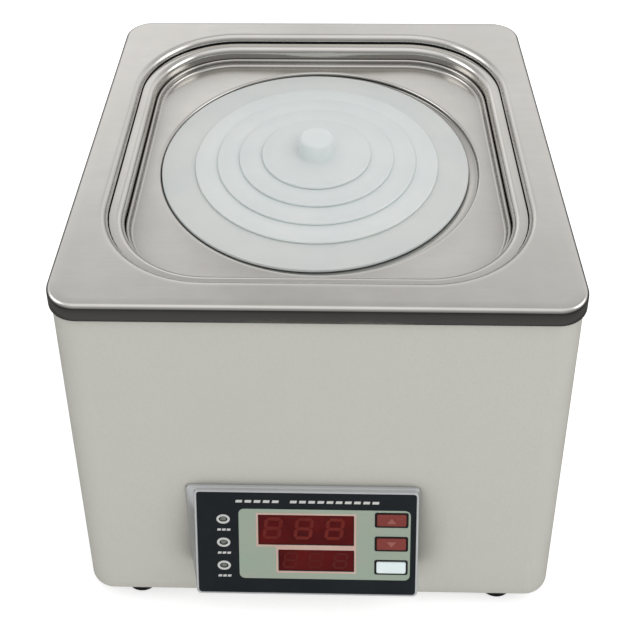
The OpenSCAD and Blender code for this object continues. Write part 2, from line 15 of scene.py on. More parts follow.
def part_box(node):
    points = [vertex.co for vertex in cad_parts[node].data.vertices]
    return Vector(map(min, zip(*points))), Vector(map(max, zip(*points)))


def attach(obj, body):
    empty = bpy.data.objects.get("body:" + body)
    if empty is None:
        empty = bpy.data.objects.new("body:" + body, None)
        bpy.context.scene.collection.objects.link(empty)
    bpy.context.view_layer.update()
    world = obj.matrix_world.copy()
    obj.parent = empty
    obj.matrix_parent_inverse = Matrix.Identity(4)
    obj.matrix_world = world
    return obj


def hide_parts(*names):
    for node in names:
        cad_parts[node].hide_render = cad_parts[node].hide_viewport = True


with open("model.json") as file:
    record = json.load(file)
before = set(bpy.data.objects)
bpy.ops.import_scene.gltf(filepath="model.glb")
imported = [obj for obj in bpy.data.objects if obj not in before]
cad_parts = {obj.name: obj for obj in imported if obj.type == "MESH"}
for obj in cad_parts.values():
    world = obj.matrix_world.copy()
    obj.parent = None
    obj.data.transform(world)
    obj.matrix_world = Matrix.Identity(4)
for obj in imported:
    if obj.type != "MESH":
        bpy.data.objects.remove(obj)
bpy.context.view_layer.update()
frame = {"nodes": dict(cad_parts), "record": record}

MM = 0.001
nodes = frame["nodes"]


def box_mm(node):
    """Lowest and highest corner of a CAD node, in millimetres."""
    low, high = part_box(node)
    return Vector(low) / MM, Vector(high) / MM


# ---------------------------------------------------------------------------
# Sizes, read off the frame where it holds them
# ---------------------------------------------------------------------------

PLATE_LOW, PLATE_HIGH = box_mm("top_plate")
TANK_LOW, TANK_HIGH = box_mm("tank")
COVER_HIGH = box_mm("cover_plate")[1]
GASKET_HIGH = box_mm("tank_gasket")[1]
CASING_LOW = box_mm("casing")[0]
FACE_LOW, FACE_HIGH = box_mm("face_plate")
BEZEL_LOW, BEZEL_HIGH = box_mm("controller_bezel")

CENTRE = ((PLATE_LOW + PLATE_HIGH) / 2).to_2d()
TOP_Z = PLATE_HIGH.z
RIM_HALF = PLATE_HIGH.x
RIM_RADIUS = 12.75
SKIRT_H = 7.5
PLATE_T = 1.0
FLANGE_Z = TANK_HIGH.z
FLANGE_HALF = TANK_HIGH.x
OPENING_HALF = FLANGE_HALF - 7.0
OPENING_RADIUS = 43.0
LIP_H = 3.2
TANK_T = 0.8
RECESS_HALF = OPENING_HALF - 6.3
WATER_HALF = RECESS_HALF - 5.6
SHOULDER_DEPTH = 9.6
SHOULDER_Z = FLANGE_Z - SHOULDER_DEPTH
FLOOR_Z = TANK_LOW.z + TANK_T

SIDE_STEPS = 10
CORNER_STEPS = 16


# ---------------------------------------------------------------------------
# Outlines and surfaces
# ---------------------------------------------------------------------------

def rounded_outline(a, b, radius, side=SIDE_STEPS, corner=CORNER_STEPS):
    """Anticlockwise points of a rounded rectangle with half sizes a and b, from the middle of +X."""
    middles = [Vector((a, 0)), Vector((0, b)), Vector((-a, 0)), Vector((0, -b))]
    signs = [(1, 1), (-1, 1), (-1, -1), (1, -1)]
    points = []
    for q, (sx, sy) in enumerate(signs):
        centre = Vector((sx * (a - radius), sy * (b - radius)))
        turns = [math.pi / 2 * (q + i / corner) for i in range(corner + 1)]
        arc_points = [centre + radius * Vector((math.cos(t), math.sin(t))) for t in turns]
        start, end = middles[q], middles[(q + 1) % 4]
        points += [start.lerp(arc_points[0], i / side) for i in range(side)]
        points += arc_points
        points += [arc_points[-1].lerp(end, i / side) for i in range(1, side)]
    return points


def square_loop(half, radius, z):
    return [Vector((*(CENTRE + p), z)) for p in rounded_outline(half, half, radius)]


def tank_loop(half, z):
    """Loop whose corners run parallel to those of the opening."""
    return square_loop(half, OPENING_RADIUS + half - OPENING_HALF, z)


def round_loop(radius, z):
    """Circle with as many points as a square loop, each in the same direction."""
    return [Vector((*(CENTRE + p.normalized() * radius), z))
            for p in rounded_outline(OPENING_HALF, OPENING_HALF, OPENING_RADIUS)]


def circle_loop(radius, z, centre=(0, 0), steps=144):
    turns = [2 * math.pi * i / steps for i in range(steps)]
    return [Vector((centre[0] + radius * math.cos(t), centre[1] + radius * math.sin(t), z))
            for t in turns]


def arc(cx, cz, radius, start, end, steps=6):
    """Profile points on an arc, its angles in degrees."""
    turns = [math.radians(start + (end - start) * i / steps) for i in range(steps + 1)]
    return [(cx + radius * math.cos(t), cz + radius * math.sin(t)) for t in turns]


def add_mesh(name, mesh, material, body, smooth_angle=35):
    for polygon in mesh.polygons:
        polygon.use_smooth = True
    mesh.set_sharp_from_angle(angle=math.radians(smooth_angle))
    piece = bpy.data.objects.new(name, mesh)
    bpy.context.scene.collection.objects.link(piece)
    mesh.materials.append(material)
    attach(piece, body)
    return piece


def skin(name, loops, material, body, closed=False, capped=False, smooth_angle=35, more=()):
    """Surface through a stack of equal loops given in millimetres; more holds further stacks."""
    bm = bmesh.new()
    for stack in (loops, *more):
        rows = [[bm.verts.new(p * MM) for p in loop] for loop in stack]
        count = len(rows[0])
        pairs = list(zip(rows, rows[1:]))
        if closed:
            pairs.append((rows[-1], rows[0]))
        for low, high in pairs:
            for i in range(count):
                k = (i + 1) % count
                bm.faces.new((low[i], low[k], high[k], high[i]))
        if capped:
            bm.faces.new(rows[0])
            bm.faces.new(rows[-1])
    bmesh.ops.recalc_face_normals(bm, faces=bm.faces)
    mesh = bpy.data.meshes.new(name)
    bm.to_mesh(mesh)
    bm.free()
    return add_mesh(name, mesh, material, body, smooth_angle)


def lathe(name, profile, centre, material, body, closed=False, steps=144):
    """Surface turned from a profile of (radius, z) points; an open profile is capped at its ends."""
    loops = [circle_loop(r, z, centre, steps) for r, z in profile]
    return skin(name, loops, material, body, closed=closed, capped=not closed)


# ---------------------------------------------------------------------------
# Materials
# ---------------------------------------------------------------------------

class Recipe:
    """A procedural material under construction, measured in the object's own metres."""

    def __init__(self, name):
        self.material = bpy.data.materials.new(name)
        self.material.use_nodes = True
        self.tree = self.material.node_tree
        self.shader = self.tree.nodes["Principled BSDF"]
        self.place = self.tree.nodes.new("ShaderNodeTexCoord").outputs["Object"]

    def link(self, value, target):
        if isinstance(value, bpy.types.NodeSocket):
            self.tree.links.new(value, target)
        else:
            target.default_value = value

    def set(self, **values):
        for key, value in values.items():
            self.link(value, self.shader.inputs[key.replace("_", " ")])
        return self

    def noise(self, scale, detail=3.0, stretch=(1, 1, 1), roughness=0.5, kind="ShaderNodeTexNoise"):
        mapping = self.tree.nodes.new("ShaderNodeMapping")
        mapping.inputs["Scale"].default_value = stretch
        self.tree.links.new(self.place, mapping.inputs["Vector"])
        texture = self.tree.nodes.new(kind)
        texture.inputs["Scale"].default_value = scale
        if kind == "ShaderNodeTexNoise":
            texture.inputs["Detail"].default_value = detail
            texture.inputs["Roughness"].default_value = roughness
        self.tree.links.new(mapping.outputs["Vector"], texture.inputs["Vector"])
        return texture.outputs[0]

    def spread(self, value, low, high, from_low=0.3, from_high=0.7):
        """Value turned into a range, clamped."""
        node = self.tree.nodes.new("ShaderNodeMapRange")
        node.inputs["From Min"].default_value = from_low
        node.inputs["From Max"].default_value = from_high
        node.inputs["To Min"].default_value = low
        node.inputs["To Max"].default_value = high
        self.tree.links.new(value, node.inputs["Value"])
        return node.outputs["Result"]

    def blend(self, factor, first, second):
        node = self.tree.nodes.new("ShaderNodeMix")
        node.data_type = "RGBA"
        self.link(factor, node.inputs["Factor"])
        self.link(colour(first) if isinstance(first, tuple) else first, node.inputs["A"])
        self.link(colour(second) if isinstance(second, tuple) else second, node.inputs["B"])
        return node.outputs["Result"]

    def add(self, first, second):
        node = self.tree.nodes.new("ShaderNodeMath")
        node.operation = "ADD"
        self.link(first, node.inputs[0])
        self.link(second, node.inputs[1])
        return node.outputs[0]

    def bump(self, height, strength, distance, under=None):
        """Surface relief; under is the normal of a coarser relief that lies below it."""
        node = self.tree.nodes.new("ShaderNodeBump")
        node.inputs["Strength"].default_value = strength
        node.inputs["Distance"].default_value = distance
        self.link(height, node.inputs["Height"])
        if under:
            self.tree.links.new(under, node.inputs["Normal"])
        self.tree.links.new(node.outputs["Normal"], self.shader.inputs["Normal"])
        return self

    def waves(self, scale, stretch, height):
        """Normal of sheet metal that is not quite flat, its waves height millimetres deep."""
        self.bump(self.noise(scale, 1, stretch=stretch), 1.0, height * MM)
        return self.shader.inputs["Normal"].links[0].from_socket

    def corner_shade(self, base, depth, reach, shade=(96, 96, 92)):
        """Base colour that darkens towards inside corners, within reach millimetres."""
        node = self.tree.nodes.new("ShaderNodeAmbientOcclusion")
        node.samples = 8
        node.inputs["Distance"].default_value = reach * MM
        return self.blend(self.spread(node.outputs["AO"], depth, 0.0, 0.3, 0.97), base, shade)

    def facing(self, axis):
        """How much the surface faces an axis, either way: 0 to 1."""
        split = self.tree.nodes.new("ShaderNodeSeparateXYZ")
        geometry = self.tree.nodes.new("ShaderNodeNewGeometry")
        self.tree.links.new(geometry.outputs["Normal"], split.inputs[0])
        size = self.tree.nodes.new("ShaderNodeMath")
        size.operation = "ABSOLUTE"
        self.tree.links.new(split.outputs["XYZ".index(axis)], size.inputs[0])
        return size.outputs[0]

    def edge_wear(self):
        """1 on convex edges, 0 on flats."""
        node = self.tree.nodes.new("ShaderNodeNewGeometry")
        return self.spread(node.outputs["Pointiness"], 0.0, 1.0, 0.52, 0.6)


def colour(rgb):
    """Linear colour with alpha from an sRGB triple of 0 to 255."""
    linear = [((c / 255 + 0.055) / 1.055) ** 2.4 if c > 10 else c / 255 / 12.92 for c in rgb[:3]]
    return (*linear, 1.0)


def powder_coat():
    r = Recipe("powder_coat")
    tone = r.spread(r.noise(9, 4), 0.0, 1.0)
    speck = r.spread(r.noise(2200, 1), 0.0, 1.0, 0.45, 0.75)
    base = r.blend(tone, (206, 205, 196), (209, 208, 199))
    base = r.blend(speck, base, (201, 200, 191))
    r.set(Base_Color=r.corner_shade(base, 0.85, 14), Roughness=r.spread(r.noise(60), 0.38, 0.5))
    r.set(Specular_IOR_Level=0.45, Coat_Weight=0.12, Coat_Roughness=0.3)
    return r.bump(r.add(r.noise(900, 2), r.noise(350, 2)), 0.09, 0.0003).material


def satin_steel(name, low, high, wave=0.25, shade=0.0, lines=0.02, axis=(1, 40, 40)):
    """Stainless sheet: slight waves, cloudy roughness, smudges and faint rolling lines."""
    r = Recipe(name)
    cloud = r.noise(22, 5, roughness=0.6)
    smudge = r.noise(75, 3, stretch=(1, 1.6, 1), roughness=0.55)
    grain = r.noise(60, 4, stretch=axis, roughness=0.7)
    base = r.blend(r.spread(cloud, 0.0, 1.0), (216, 213, 208), (228, 225, 221))
    base = r.blend(r.spread(grain, 0.0, 0.3), base, (206, 203, 198))
    if shade:
        base = r.corner_shade(base, shade, 16, (84, 81, 78))
    rough = r.add(r.spread(cloud, low, high), r.spread(smudge, -0.02, 0.03))
    r.set(Base_Color=base, Metallic=1.0, Roughness=rough, Anisotropic=0.2)
    return r.bump(r.noise(700, 2), lines, 0.0001, r.waves(13, (1, 0.7, 0.3), wave)).material


def milky_plastic(name, light, dark):
    """Translucent moulding: soft swirls, painted bluish shade in its corners and a painted glow on its
    upright sides.
    """
    r = Recipe(name)
    swirl = r.noise(30, 4, roughness=0.55)
    base = r.blend(r.spread(swirl, 0.0, 1.0), light, dark)
    # painted shade: the colour turns bluish grey towards inside corners and the steps between rings
    base = r.corner_shade(base, 0.2, 15, (162, 184, 190))
    r.set(Base_Color=base, Roughness=r.spread(r.noise(70, 4), 0.3, 0.42), IOR=1.49)
    r.set(Subsurface_Weight=0.35, Subsurface_Scale=0.003, Transmission_Weight=0.06)
    # painted glow: faces that stand upright emit a faint light, so the ring sides look lit
    r.set(Emission_Color=(0.95, 1.0, 0.99, 1.0))
    r.set(Emission_Strength=r.spread(r.facing("Z"), 0.09, 0.0, 0.0, 0.9))
    r.shader.inputs["Subsurface Radius"].default_value = (0.9, 1.0, 1.1)
    turned = r.noise(240, 2, stretch=(1, 1, 6))
    return r.bump(r.add(turned, r.noise(1500, 1)), 0.05, 0.0002).material


def moulded(name, rgb, rough=0.45, grain=1400, strength=0.12, spread=8, specular=0.5, wear=0.25,
            shade=0.0, side=None):
    """Moulded plastic or rubber: fine spark texture, uneven sheen and paler worn edges, with painted shade
    in inside corners (shade) and on faces turned to the left or right (side).
    """
    r = Recipe(name)
    cloud = r.noise(45, 4)
    darker = tuple(max(c - spread, 0) for c in rgb)
    paler = tuple(min(c + 4 * spread, 255) for c in rgb)
    base = r.blend(r.spread(cloud, 0.0, 1.0), rgb, darker)
    edge = r.spread(r.edge_wear(), 0.0, wear, 0, 1)
    base = r.blend(edge, base, paler)
    if shade:
        base = r.corner_shade(base, shade, 9)
    # painted shade: faces turned to the left or right are blended towards the side colour
    if side:
        base = r.blend(r.spread(r.facing("X"), 0.0, 1.0, 0.55, 0.85), base, side)
    r.set(Base_Color=base, Specular_IOR_Level=specular)
    r.set(Roughness=r.spread(r.noise(120, 4), rough - 0.06, rough + 0.08))
    return r.bump(r.noise(grain, 2), strength, 0.0002).material


def metal(name, rgb, rough=0.3, lines=(1, 1, 1), strength=0.08):
    """Plated or turned metal with tarnish in patches."""
    r = Recipe(name)
    tarnish = r.noise(180, 4, roughness=0.65)
    darker = tuple(max(c - 38, 0) for c in rgb)
    r.set(Base_Color=r.blend(r.spread(tarnish, 0.0, 1.0), rgb, darker), Metallic=1.0)
    r.set(Roughness=r.spread(tarnish, rough - 0.06, rough + 0.12))
    return r.bump(r.noise(900, 3, stretch=lines), strength, 0.0002).material


def glass_wool():
    r = Recipe("glass_wool")
    fibre = r.noise(420, 6, stretch=(1, 3, 8), roughness=0.75)
    base = r.blend(r.spread(fibre, 0.0, 1.0), (226, 210, 150), (244, 236, 204))
    r.set(Base_Color=base, Roughness=0.95, Sheen_Weight=0.4)
    return r.bump(fibre, 0.9, 0.001).material


def circuit_board_material():
    r = Recipe("circuit_board")
    tracks = r.spread(r.noise(130, 1, kind="ShaderNodeTexVoronoi"), 0.0, 1.0, 0.3, 0.34)
    base = r.blend(tracks, (22, 84, 44), (34, 112, 60))
    r.set(Base_Color=base, Roughness=r.spread(r.noise(300), 0.25, 0.4), Coat_Weight=0.3)
    return r.bump(tracks, 0.2, 0.0001).material


def printed_film(name, rgb, other, rough=0.32):
    """Screen-printed film: faint orange peel and dust."""
    r = Recipe(name)
    cloud = r.noise(60, 4)
    dust = r.spread(r.noise(1600, 2), 0.0, 0.25, 0.62, 0.8)
    base = r.blend(r.spread(cloud, 0.0, 1.0), rgb, other)
    paler = tuple(min(c + 40, 255) for c in rgb)
    r.set(Base_Color=r.blend(dust, base, paler), Roughness=r.spread(r.noise(90, 3), rough, rough + 0.12))
    r.set(Specular_IOR_Level=0.4)
    return r.bump(r.noise(700, 2), 0.06, 0.0002).material


def tinted_lens():
    r = Recipe("red_lens")
    depth = r.spread(r.noise(70, 3), 0.0, 1.0)
    base = r.blend(depth, (74, 16, 18), (104, 22, 22))
    r.set(Base_Color=base, Roughness=r.spread(r.noise(200, 3), 0.12, 0.22), Coat_Weight=0.5)
    return r.bump(r.noise(500, 2), 0.03, 0.0002).material


def clear_glass():
    r = Recipe("fuse_glass")
    r.set(Base_Color=colour((232, 238, 234)), Roughness=r.spread(r.noise(200), 0.03, 0.1))
    r.set(Transmission_Weight=0.9, IOR=1.5)
    return r.bump(r.noise(300, 2), 0.02, 0.0002).material


coat = powder_coat()
steel_top = satin_steel("steel_top", 0.17, 0.25)
steel_tank = satin_steel("steel_tank", 0.05, 0.11, wave=0.1, shade=0.5)
steel_cover = satin_steel("steel_cover", 0.13, 0.2, shade=0.8)
milky = milky_plastic("milky_plastic", (238, 243, 242), (230, 237, 237))
# painted shade: a darker copy of the milky plastic for the outer ring, standing for the shade of the dark
# tank below it
milky_outer_shaded = milky_plastic("milky_outer_shaded", (228, 230, 227), (218, 223, 222))
# the bezel's flanks get painted shade from side, and its inside corners from shade
bezel_grey = moulded("bezel_grey", (200, 202, 204), rough=0.4, spread=5, shade=0.25,
                     side=(158, 160, 158))
rubber = moulded("foot_rubber", (28, 28, 29), rough=0.7, strength=0.25, specular=0.3)
gasket_rubber = moulded("gasket_rubber", (16, 16, 16), rough=0.75, specular=0.2)
silicone = moulded("seal_silicone", (158, 58, 40), rough=0.5, grain=500)
black_plastic = moulded("black_plastic", (26, 26, 28), rough=0.38)
nylon = moulded("nylon", (214, 212, 200), rough=0.45)
relay_blue = moulded("relay_blue", (34, 86, 140), rough=0.3)
terminal_green = moulded("terminal_green", (46, 118, 72), rough=0.4)
wire_red = moulded("wire_red", (168, 38, 34), rough=0.4, grain=600)
switch_red = moulded("switch_red", (128, 28, 26), rough=0.25)
lacquer = moulded("transformer_lacquer", (62, 58, 56), rough=0.35, grain=700)
display_black = moulded("display_black", (44, 16, 17), rough=0.4)
lamp_clear = moulded("lamp_lens", (124, 128, 122), rough=0.15, strength=0.03)
zinc = metal("zinc_steel", (186, 188, 190))
heater_steel = metal("heater_steel", (150, 146, 138), rough=0.35, lines=(1, 0.1, 1))
brass = metal("brass_fittings", (196, 164, 92), rough=0.28)
wool = glass_wool()
board_green = circuit_board_material()
film_black = printed_film("film_black", (36, 41, 46), (30, 36, 40))
film_green = printed_film("film_green", (159, 178, 160), (168, 175, 160), rough=0.4)
film_white = printed_film("film_white", (214, 214, 210), (200, 202, 200), rough=0.4)
film_pink = printed_film("film_pink", (212, 188, 174), (206, 170, 158), rough=0.4)
red_lens = tinted_lens()
segment_red = printed_film("segment_red", (124, 42, 34), (106, 34, 30), rough=0.2)
segment_dim = printed_film("segment_dim", (100, 32, 28), (92, 28, 26), rough=0.2)
button_red = printed_film("button_red", (146, 66, 58), (134, 58, 52), rough=0.4)
button_white = printed_film("button_white", (246, 255, 255), (232, 250, 250), rough=0.35)
mark_red = printed_film("mark_red", (170, 104, 94), (160, 94, 86), rough=0.4)
glass = clear_glass()

FINISH = {
    "powder_coat": coat, "stainless_top": steel_top, "stainless_tank": steel_tank,
    "stainless_cover": steel_cover, "zinc_steel": zinc, "foot_rubber": rubber,
    "gasket_rubber": gasket_rubber, "seal_silicone": silicone, "glass_wool": wool,
    "heater_steel": heater_steel, "brass_fittings": brass, "black_plastic": black_plastic,
    "milky_plastic": milky, "bezel_plastic": bezel_grey, "printed_face": film_black,
    "red_lens": red_lens, "display_black": display_black, "lamp_lens": lamp_clear,
    "circuit_board": board_green, "red_button": button_red, "white_button": button_white,
    "nylon": nylon, "transformer_core": lacquer, "relay_blue": relay_blue,
    "terminal_green": terminal_green, "wire_red": wire_red, "fuse_glass": glass,
    "switch_red": switch_red,
}
for part in frame["record"]["subparts"]:
    cad_object = nodes[part["node"]]
    cad_object.data.materials.clear()
    cad_object.data.materials.append(FINISH[part["material_slot"]])


# ---------------------------------------------------------------------------
# Sheet metal
# ---------------------------------------------------------------------------

def make_top_plate():
    """Pressed plate: skirt, bent outer edge, flat, and a lip rolled down round the opening."""
    bend, roll, low = 1.8, 3.2, TOP_Z - SKIRT_H
    inner_roll = roll - PLATE_T
    lip_in = OPENING_HALF + roll
    skirt_in = RIM_HALF - PLATE_T
    profile = [(RIM_HALF, low + 0.3), (RIM_HALF, TOP_Z - bend - 0.2)]
    profile += arc(RIM_HALF - bend, TOP_Z - bend, bend, 0, 90, 7)
    profile += [(RIM_HALF - bend - 3, TOP_Z), (lip_in + 1, TOP_Z)]
    profile += arc(lip_in, TOP_Z - roll, roll, 90, 172, 9)
    profile += [(OPENING_HALF + PLATE_T, TOP_Z - LIP_H - 0.1)]
    profile += arc(lip_in, TOP_Z - roll, inner_roll, 172, 90, 6)
    profile += [(RIM_HALF - bend, TOP_Z - PLATE_T)]
    profile += arc(RIM_HALF - bend, TOP_Z - bend, bend - PLATE_T, 80, 0, 4)
    profile += [(skirt_in, low + 0.3), (skirt_in + 0.3, low), (RIM_HALF - 0.3, low)]
    loops = []
    for half, z in profile:
        if half > (RIM_HALF + OPENING_HALF) / 2:
            loops.append(square_loop(half, RIM_RADIUS + half - RIM_HALF, z))
        else:
            loops.append(tank_loop(half, z))
    plate = skin("top_plate_sheet", loops, steel_top, "housing", closed=True, smooth_angle=50)
    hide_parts("top_plate")


def make_tank():
    """Drawn tank: flange, first wall, shoulder, water space and dished floor edge."""
    roll, fillet, nose, floor_r = 3.0, 0.7, 1.5, 9.0
    z = FLANGE_Z
    inside = [(FLANGE_HALF, z), (RECESS_HALF + roll, z)]
    inside += arc(RECESS_HALF + roll, z - roll, roll, 90, 180, 8)
    inside += arc(RECESS_HALF - fillet, SHOULDER_Z + fillet, fillet, 0, -90, 6)
    inside += arc(WATER_HALF + nose, SHOULDER_Z - nose, nose, 90, 180, 5)
    inside += arc(WATER_HALF - floor_r, FLOOR_Z + floor_r, floor_r, 0, -90, 8)
    inside += [(WATER_HALF - 30, FLOOR_Z)]
    outside = [(WATER_HALF - 30, FLOOR_Z - TANK_T)]
    outside += arc(WATER_HALF - floor_r, FLOOR_Z + floor_r, floor_r + TANK_T, -90, 0, 8)
    outside += arc(WATER_HALF + nose, SHOULDER_Z - nose, nose - TANK_T, 180, 90, 4)
    outside += arc(RECESS_HALF - fillet, SHOULDER_Z + fillet, fillet + TANK_T, -90, 0, 6)
    outside += arc(RECESS_HALF + roll, z - roll, roll - TANK_T, 180, 90, 6)
    outside += [(FLANGE_HALF, z - TANK_T)]
    loops = [tank_loop(half, height) for half, height in inside]
    floor_up, floor_down = len(inside) - 1, len(inside)
    loops[floor_up:floor_up + 1] = [loops[floor_up], round_loop(8, FLOOR_Z)]
    loops[floor_down + 1:floor_down + 1] = [round_loop(8, FLOOR_Z - TANK_T)]
    loops += [tank_loop(half, height) for half, height in outside]
    split = floor_up + 2
    build_tank_mesh(loops, split)


def build_tank_mesh(loops, split):
    """Joins the inside and outside stacks and closes each with a floor face."""
    bm = bmesh.new()
    rows = [[bm.verts.new(p * MM) for p in loop] for loop in loops]
    count = len(rows[0])
    pairs = [(rows[i], rows[i + 1]) for i in range(len(rows) - 1) if i + 1 != split]
    pairs.append((rows[-1], rows[0]))
    for low, high in pairs:
        for i in range(count):
            k = (i + 1) % count
            bm.faces.new((low[i], low[k], high[k], high[i]))
    bm.faces.new(rows[split - 1])
    bm.faces.new(rows[split])
    bmesh.ops.recalc_face_normals(bm, faces=bm.faces)
    mesh = bpy.data.meshes.new("tank_shell")
    bm.to_mesh(mesh)
    bm.free()
    tank = add_mesh("tank_shell", mesh, steel_tank, "housing", 40)
    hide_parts("tank")


HOLE_R = 70.1
SEAT_INNER_R = 63.5
COVER_T = 1.0
COVER_HALF = COVER_HIGH.x + 0.25
COVER_TOP = COVER_HIGH.z - 3.2
SEAT_Z = COVER_TOP - 2.2
RIM_T = 1.6


def make_cover_plate():
    """Cover plate with a rolled rim, a flat web and a pressed seat round its hole."""
    bead = RIM_T / 2
    fillet = 1.5
    inner = COVER_HALF - RIM_T
    low = COVER_TOP - COVER_T
    square = [(COVER_HALF - 0.9, low), (COVER_HALF, low + 0.9)]
    square += arc(COVER_HALF - bead, COVER_HIGH.z - bead, bead, 0, 180, 8)
    square += arc(inner - fillet, COVER_TOP + fillet, fillet, 0, -90, 6)
    edge = 0.9
    rounds = [(HOLE_R + edge + 0.8, COVER_TOP)]
    rounds += arc(HOLE_R + edge, COVER_TOP - edge, edge, 90, 180, 5)
    rounds += arc(HOLE_R - 0.6, SEAT_Z + 0.6, 0.6, 0, -90, 4)
    rounds += [(SEAT_INNER_R + 0.4, SEAT_Z), (SEAT_INNER_R, SEAT_Z - 0.4)]
    rounds += [(SEAT_INNER_R, SEAT_Z - 0.7), (SEAT_INNER_R + 0.3, SEAT_Z - COVER_T)]
    rounds += arc(HOLE_R - 0.6, SEAT_Z + 0.6, 0.6 + COVER_T, -90, 0, 4)
    rounds += [(HOLE_R + COVER_T, low)]
    loops = [tank_loop(half, z) for half, z in square]
    loops += [round_loop(radius, z) for radius, z in rounds]
    cover = skin("cover_plate_sheet", loops, steel_cover, "cover_plate", closed=True, smooth_angle=50)
    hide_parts("cover_plate")


def make_gasket():
    """Rubber gasket between top plate and flange; its tongue reaches in past the lip as a black strip that
    paints the shade of the gap there as a dark line.
    """
    low, high = FLANGE_Z + 0.03, GASKET_HIGH.z
    # painted shade: the tongue sticks out 0.45 mm inside the lip so its black rubber shows as the gap's
    # dark line
    tongue_in, tongue_top = OPENING_HALF - 0.45, FLANGE_Z + 0.16
    body_in, outer = OPENING_HALF + PLATE_T + 0.1, GASKET_HIGH.x
    profile = [(outer, low), (outer, high), (body_in, high), (body_in, tongue_top)]
    profile += [(tongue_in, tongue_top), (tongue_in, low)]
    loops = [tank_loop(half, z) for half, z in profile]
    gasket = skin("gasket_frame", loops, gasket_rubber, "housing", closed=True)
    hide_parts("tank_gasket")


make_top_plate()
make_tank()
make_gasket()
make_cover_plate()


# ---------------------------------------------------------------------------
# Rings and cap
# ---------------------------------------------------------------------------

RING_NODES = ["ring_1", "ring_2", "ring_3", "ring_4"]
COLLAR_T = 1.4
COLLAR_H = 5
COLLAR_PLAY = 0.95
OUTER_COLLAR_PLAY = 2.3
OVERLAP = 4.25
RING_EASE = 0.38


def ring_sizes(node):
    """Centre, outer radius, lowest and highest z of a ring."""
    low, high = box_mm(node)
    centre = ((low.x + high.x) / 2, (low.y + high.y) / 2)
    return centre, (high.x - low.x) / 2, low.z, high.z


def flange_profile(outer, inner, collar, low, top, thick):
    """Closed L-shaped section, anticlockwise from the outer edge, its corners eased."""
    ease = RING_EASE
    profile = arc(outer - ease, top - thick + ease, ease, -60, 0, 3)
    profile += arc(outer - ease, top - ease, ease, 0, 90, 4)
    profile += arc(inner + ease, top - ease, ease, 90, 180, 4)
    profile += [(inner, top - thick + 0.2), (inner + 0.2, top - thick)]
    profile += [(collar - COLLAR_T, top - thick), (collar - COLLAR_T + 0.15, low + 0.2)]
    profile += [(collar - COLLAR_T + 0.4, low), (collar - 0.4, low), (collar - 0.15, low + 0.2)]
    profile += [(collar, top - thick - 0.3), (collar + 0.3, top - thick)]
    return profile


def make_rings():
    radii = [ring_sizes(node)[1] for node in RING_NODES] + [ring_sizes("centre_cap")[1]]
    for i, node in enumerate(RING_NODES):
        centre, outer, low, top = ring_sizes(node)
        thick = top - low - COLLAR_H
        inner = radii[i + 1] - OVERLAP
        collar = SEAT_INNER_R - OUTER_COLLAR_PLAY if i == 0 else outer - OVERLAP - COLLAR_PLAY
        profile = flange_profile(outer, inner, collar, low, top, thick)
        # the outer ring takes the darker copy, with its painted shade
        finish = milky_outer_shaded if i == 0 else milky
        ring = lathe(node + "_moulding", profile, centre, finish, node, closed=True, steps=180)
        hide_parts(node)


def make_cap():
    """Cap disc with its collar, and a knob that flows out of the disc and has a soft top edge."""
    centre, outer, low, top = ring_sizes("centre_cap")
    knob_r, knob_h, thick, ease, crown = 7.75, 8.6, 1.15, RING_EASE, 1.6
    disc = top - knob_h
    collar = outer - OVERLAP - COLLAR_PLAY
    profile = [(2.0, disc - thick), (collar - COLLAR_T, disc - thick)]
    profile += [(collar - COLLAR_T + 0.15, low + 0.2), (collar - COLLAR_T + 0.4, low)]
    profile += [(collar - 0.4, low), (collar - 0.15, low + 0.2), (collar, disc - thick - 0.3)]
    profile += [(collar + 0.3, disc - thick)]
    profile += arc(outer - ease, disc - thick + ease, ease, -60, 0, 3)
    profile += arc(outer - ease, disc - ease, ease, 0, 90, 4)
    profile += arc(knob_r + 1.2, disc + 1.2, 1.2, -90, -180, 5)
    profile += arc(knob_r - crown, top - crown, crown, 0, 84, 9)
    profile += [(knob_r - crown - 1.5, top)]
    cap = lathe("centre_cap_moulding", profile, centre, milky, "centre_cap")
    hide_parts("centre_cap")


make_rings()
make_cap()


# ---------------------------------------------------------------------------
# Controller on the sloping front
# ---------------------------------------------------------------------------

FACE_TILT = math.radians(13.9)
FACE_RIGHT = Vector((1, 0, 0))
FACE_UP = Vector((0, math.sin(FACE_TILT), math.cos(FACE_TILT)))
FACE_OUT = Vector((0, -math.cos(FACE_TILT), math.sin(FACE_TILT)))
FACE_T = 1.0
FACE_W = FACE_HIGH.x - FACE_LOW.x
FACE_H = (FACE_HIGH.z - FACE_LOW.z - FACE_T * math.sin(FACE_TILT)) / math.cos(FACE_TILT)
FACE_MID = (FACE_LOW + FACE_HIGH) / 2 + FACE_T / 2 * FACE_OUT

# Rectangles on the face: centre x, centre y, width, height
WINDOW_1 = (-0.15, 6.25, 38.1, 13.7)
WINDOW_2 = (3.9, -8.1, 30.2, 9.8)
INSET = (7.25, -0.5, 68.9, 32.8)
BUTTON_SIZE = (12.4, 5.9)
BUTTON_X = 34.1
BUTTON_Y = {"up_button": 11.55, "down_button": 0.4, "set_button": -10.7}
LAMP_X = -33.4
LAMP_Y = [10.95, 0.0, -10.95]
FILM_T = 0.12


def on_face(x, y, out=0.0):
    return FACE_MID + x * FACE_RIGHT + y * FACE_UP + out * FACE_OUT


def face_rectangle(rectangle, grow=0.0, radius=0.01, corner=6):
    """Rounded rectangle on the face as (x, y) points."""
    x, y, w, h = rectangle
    outline = rounded_outline(w / 2 + grow, h / 2 + grow, radius, side=1, corner=corner)
    return [(x + p.x, y + p.y) for p in outline]


def face_ellipse(x, y, w, h, steps=40):
    turns = [2 * math.pi * i / steps for i in range(steps)]
    return [(x + w / 2 * math.cos(t), y + h / 2 * math.sin(t)) for t in turns]


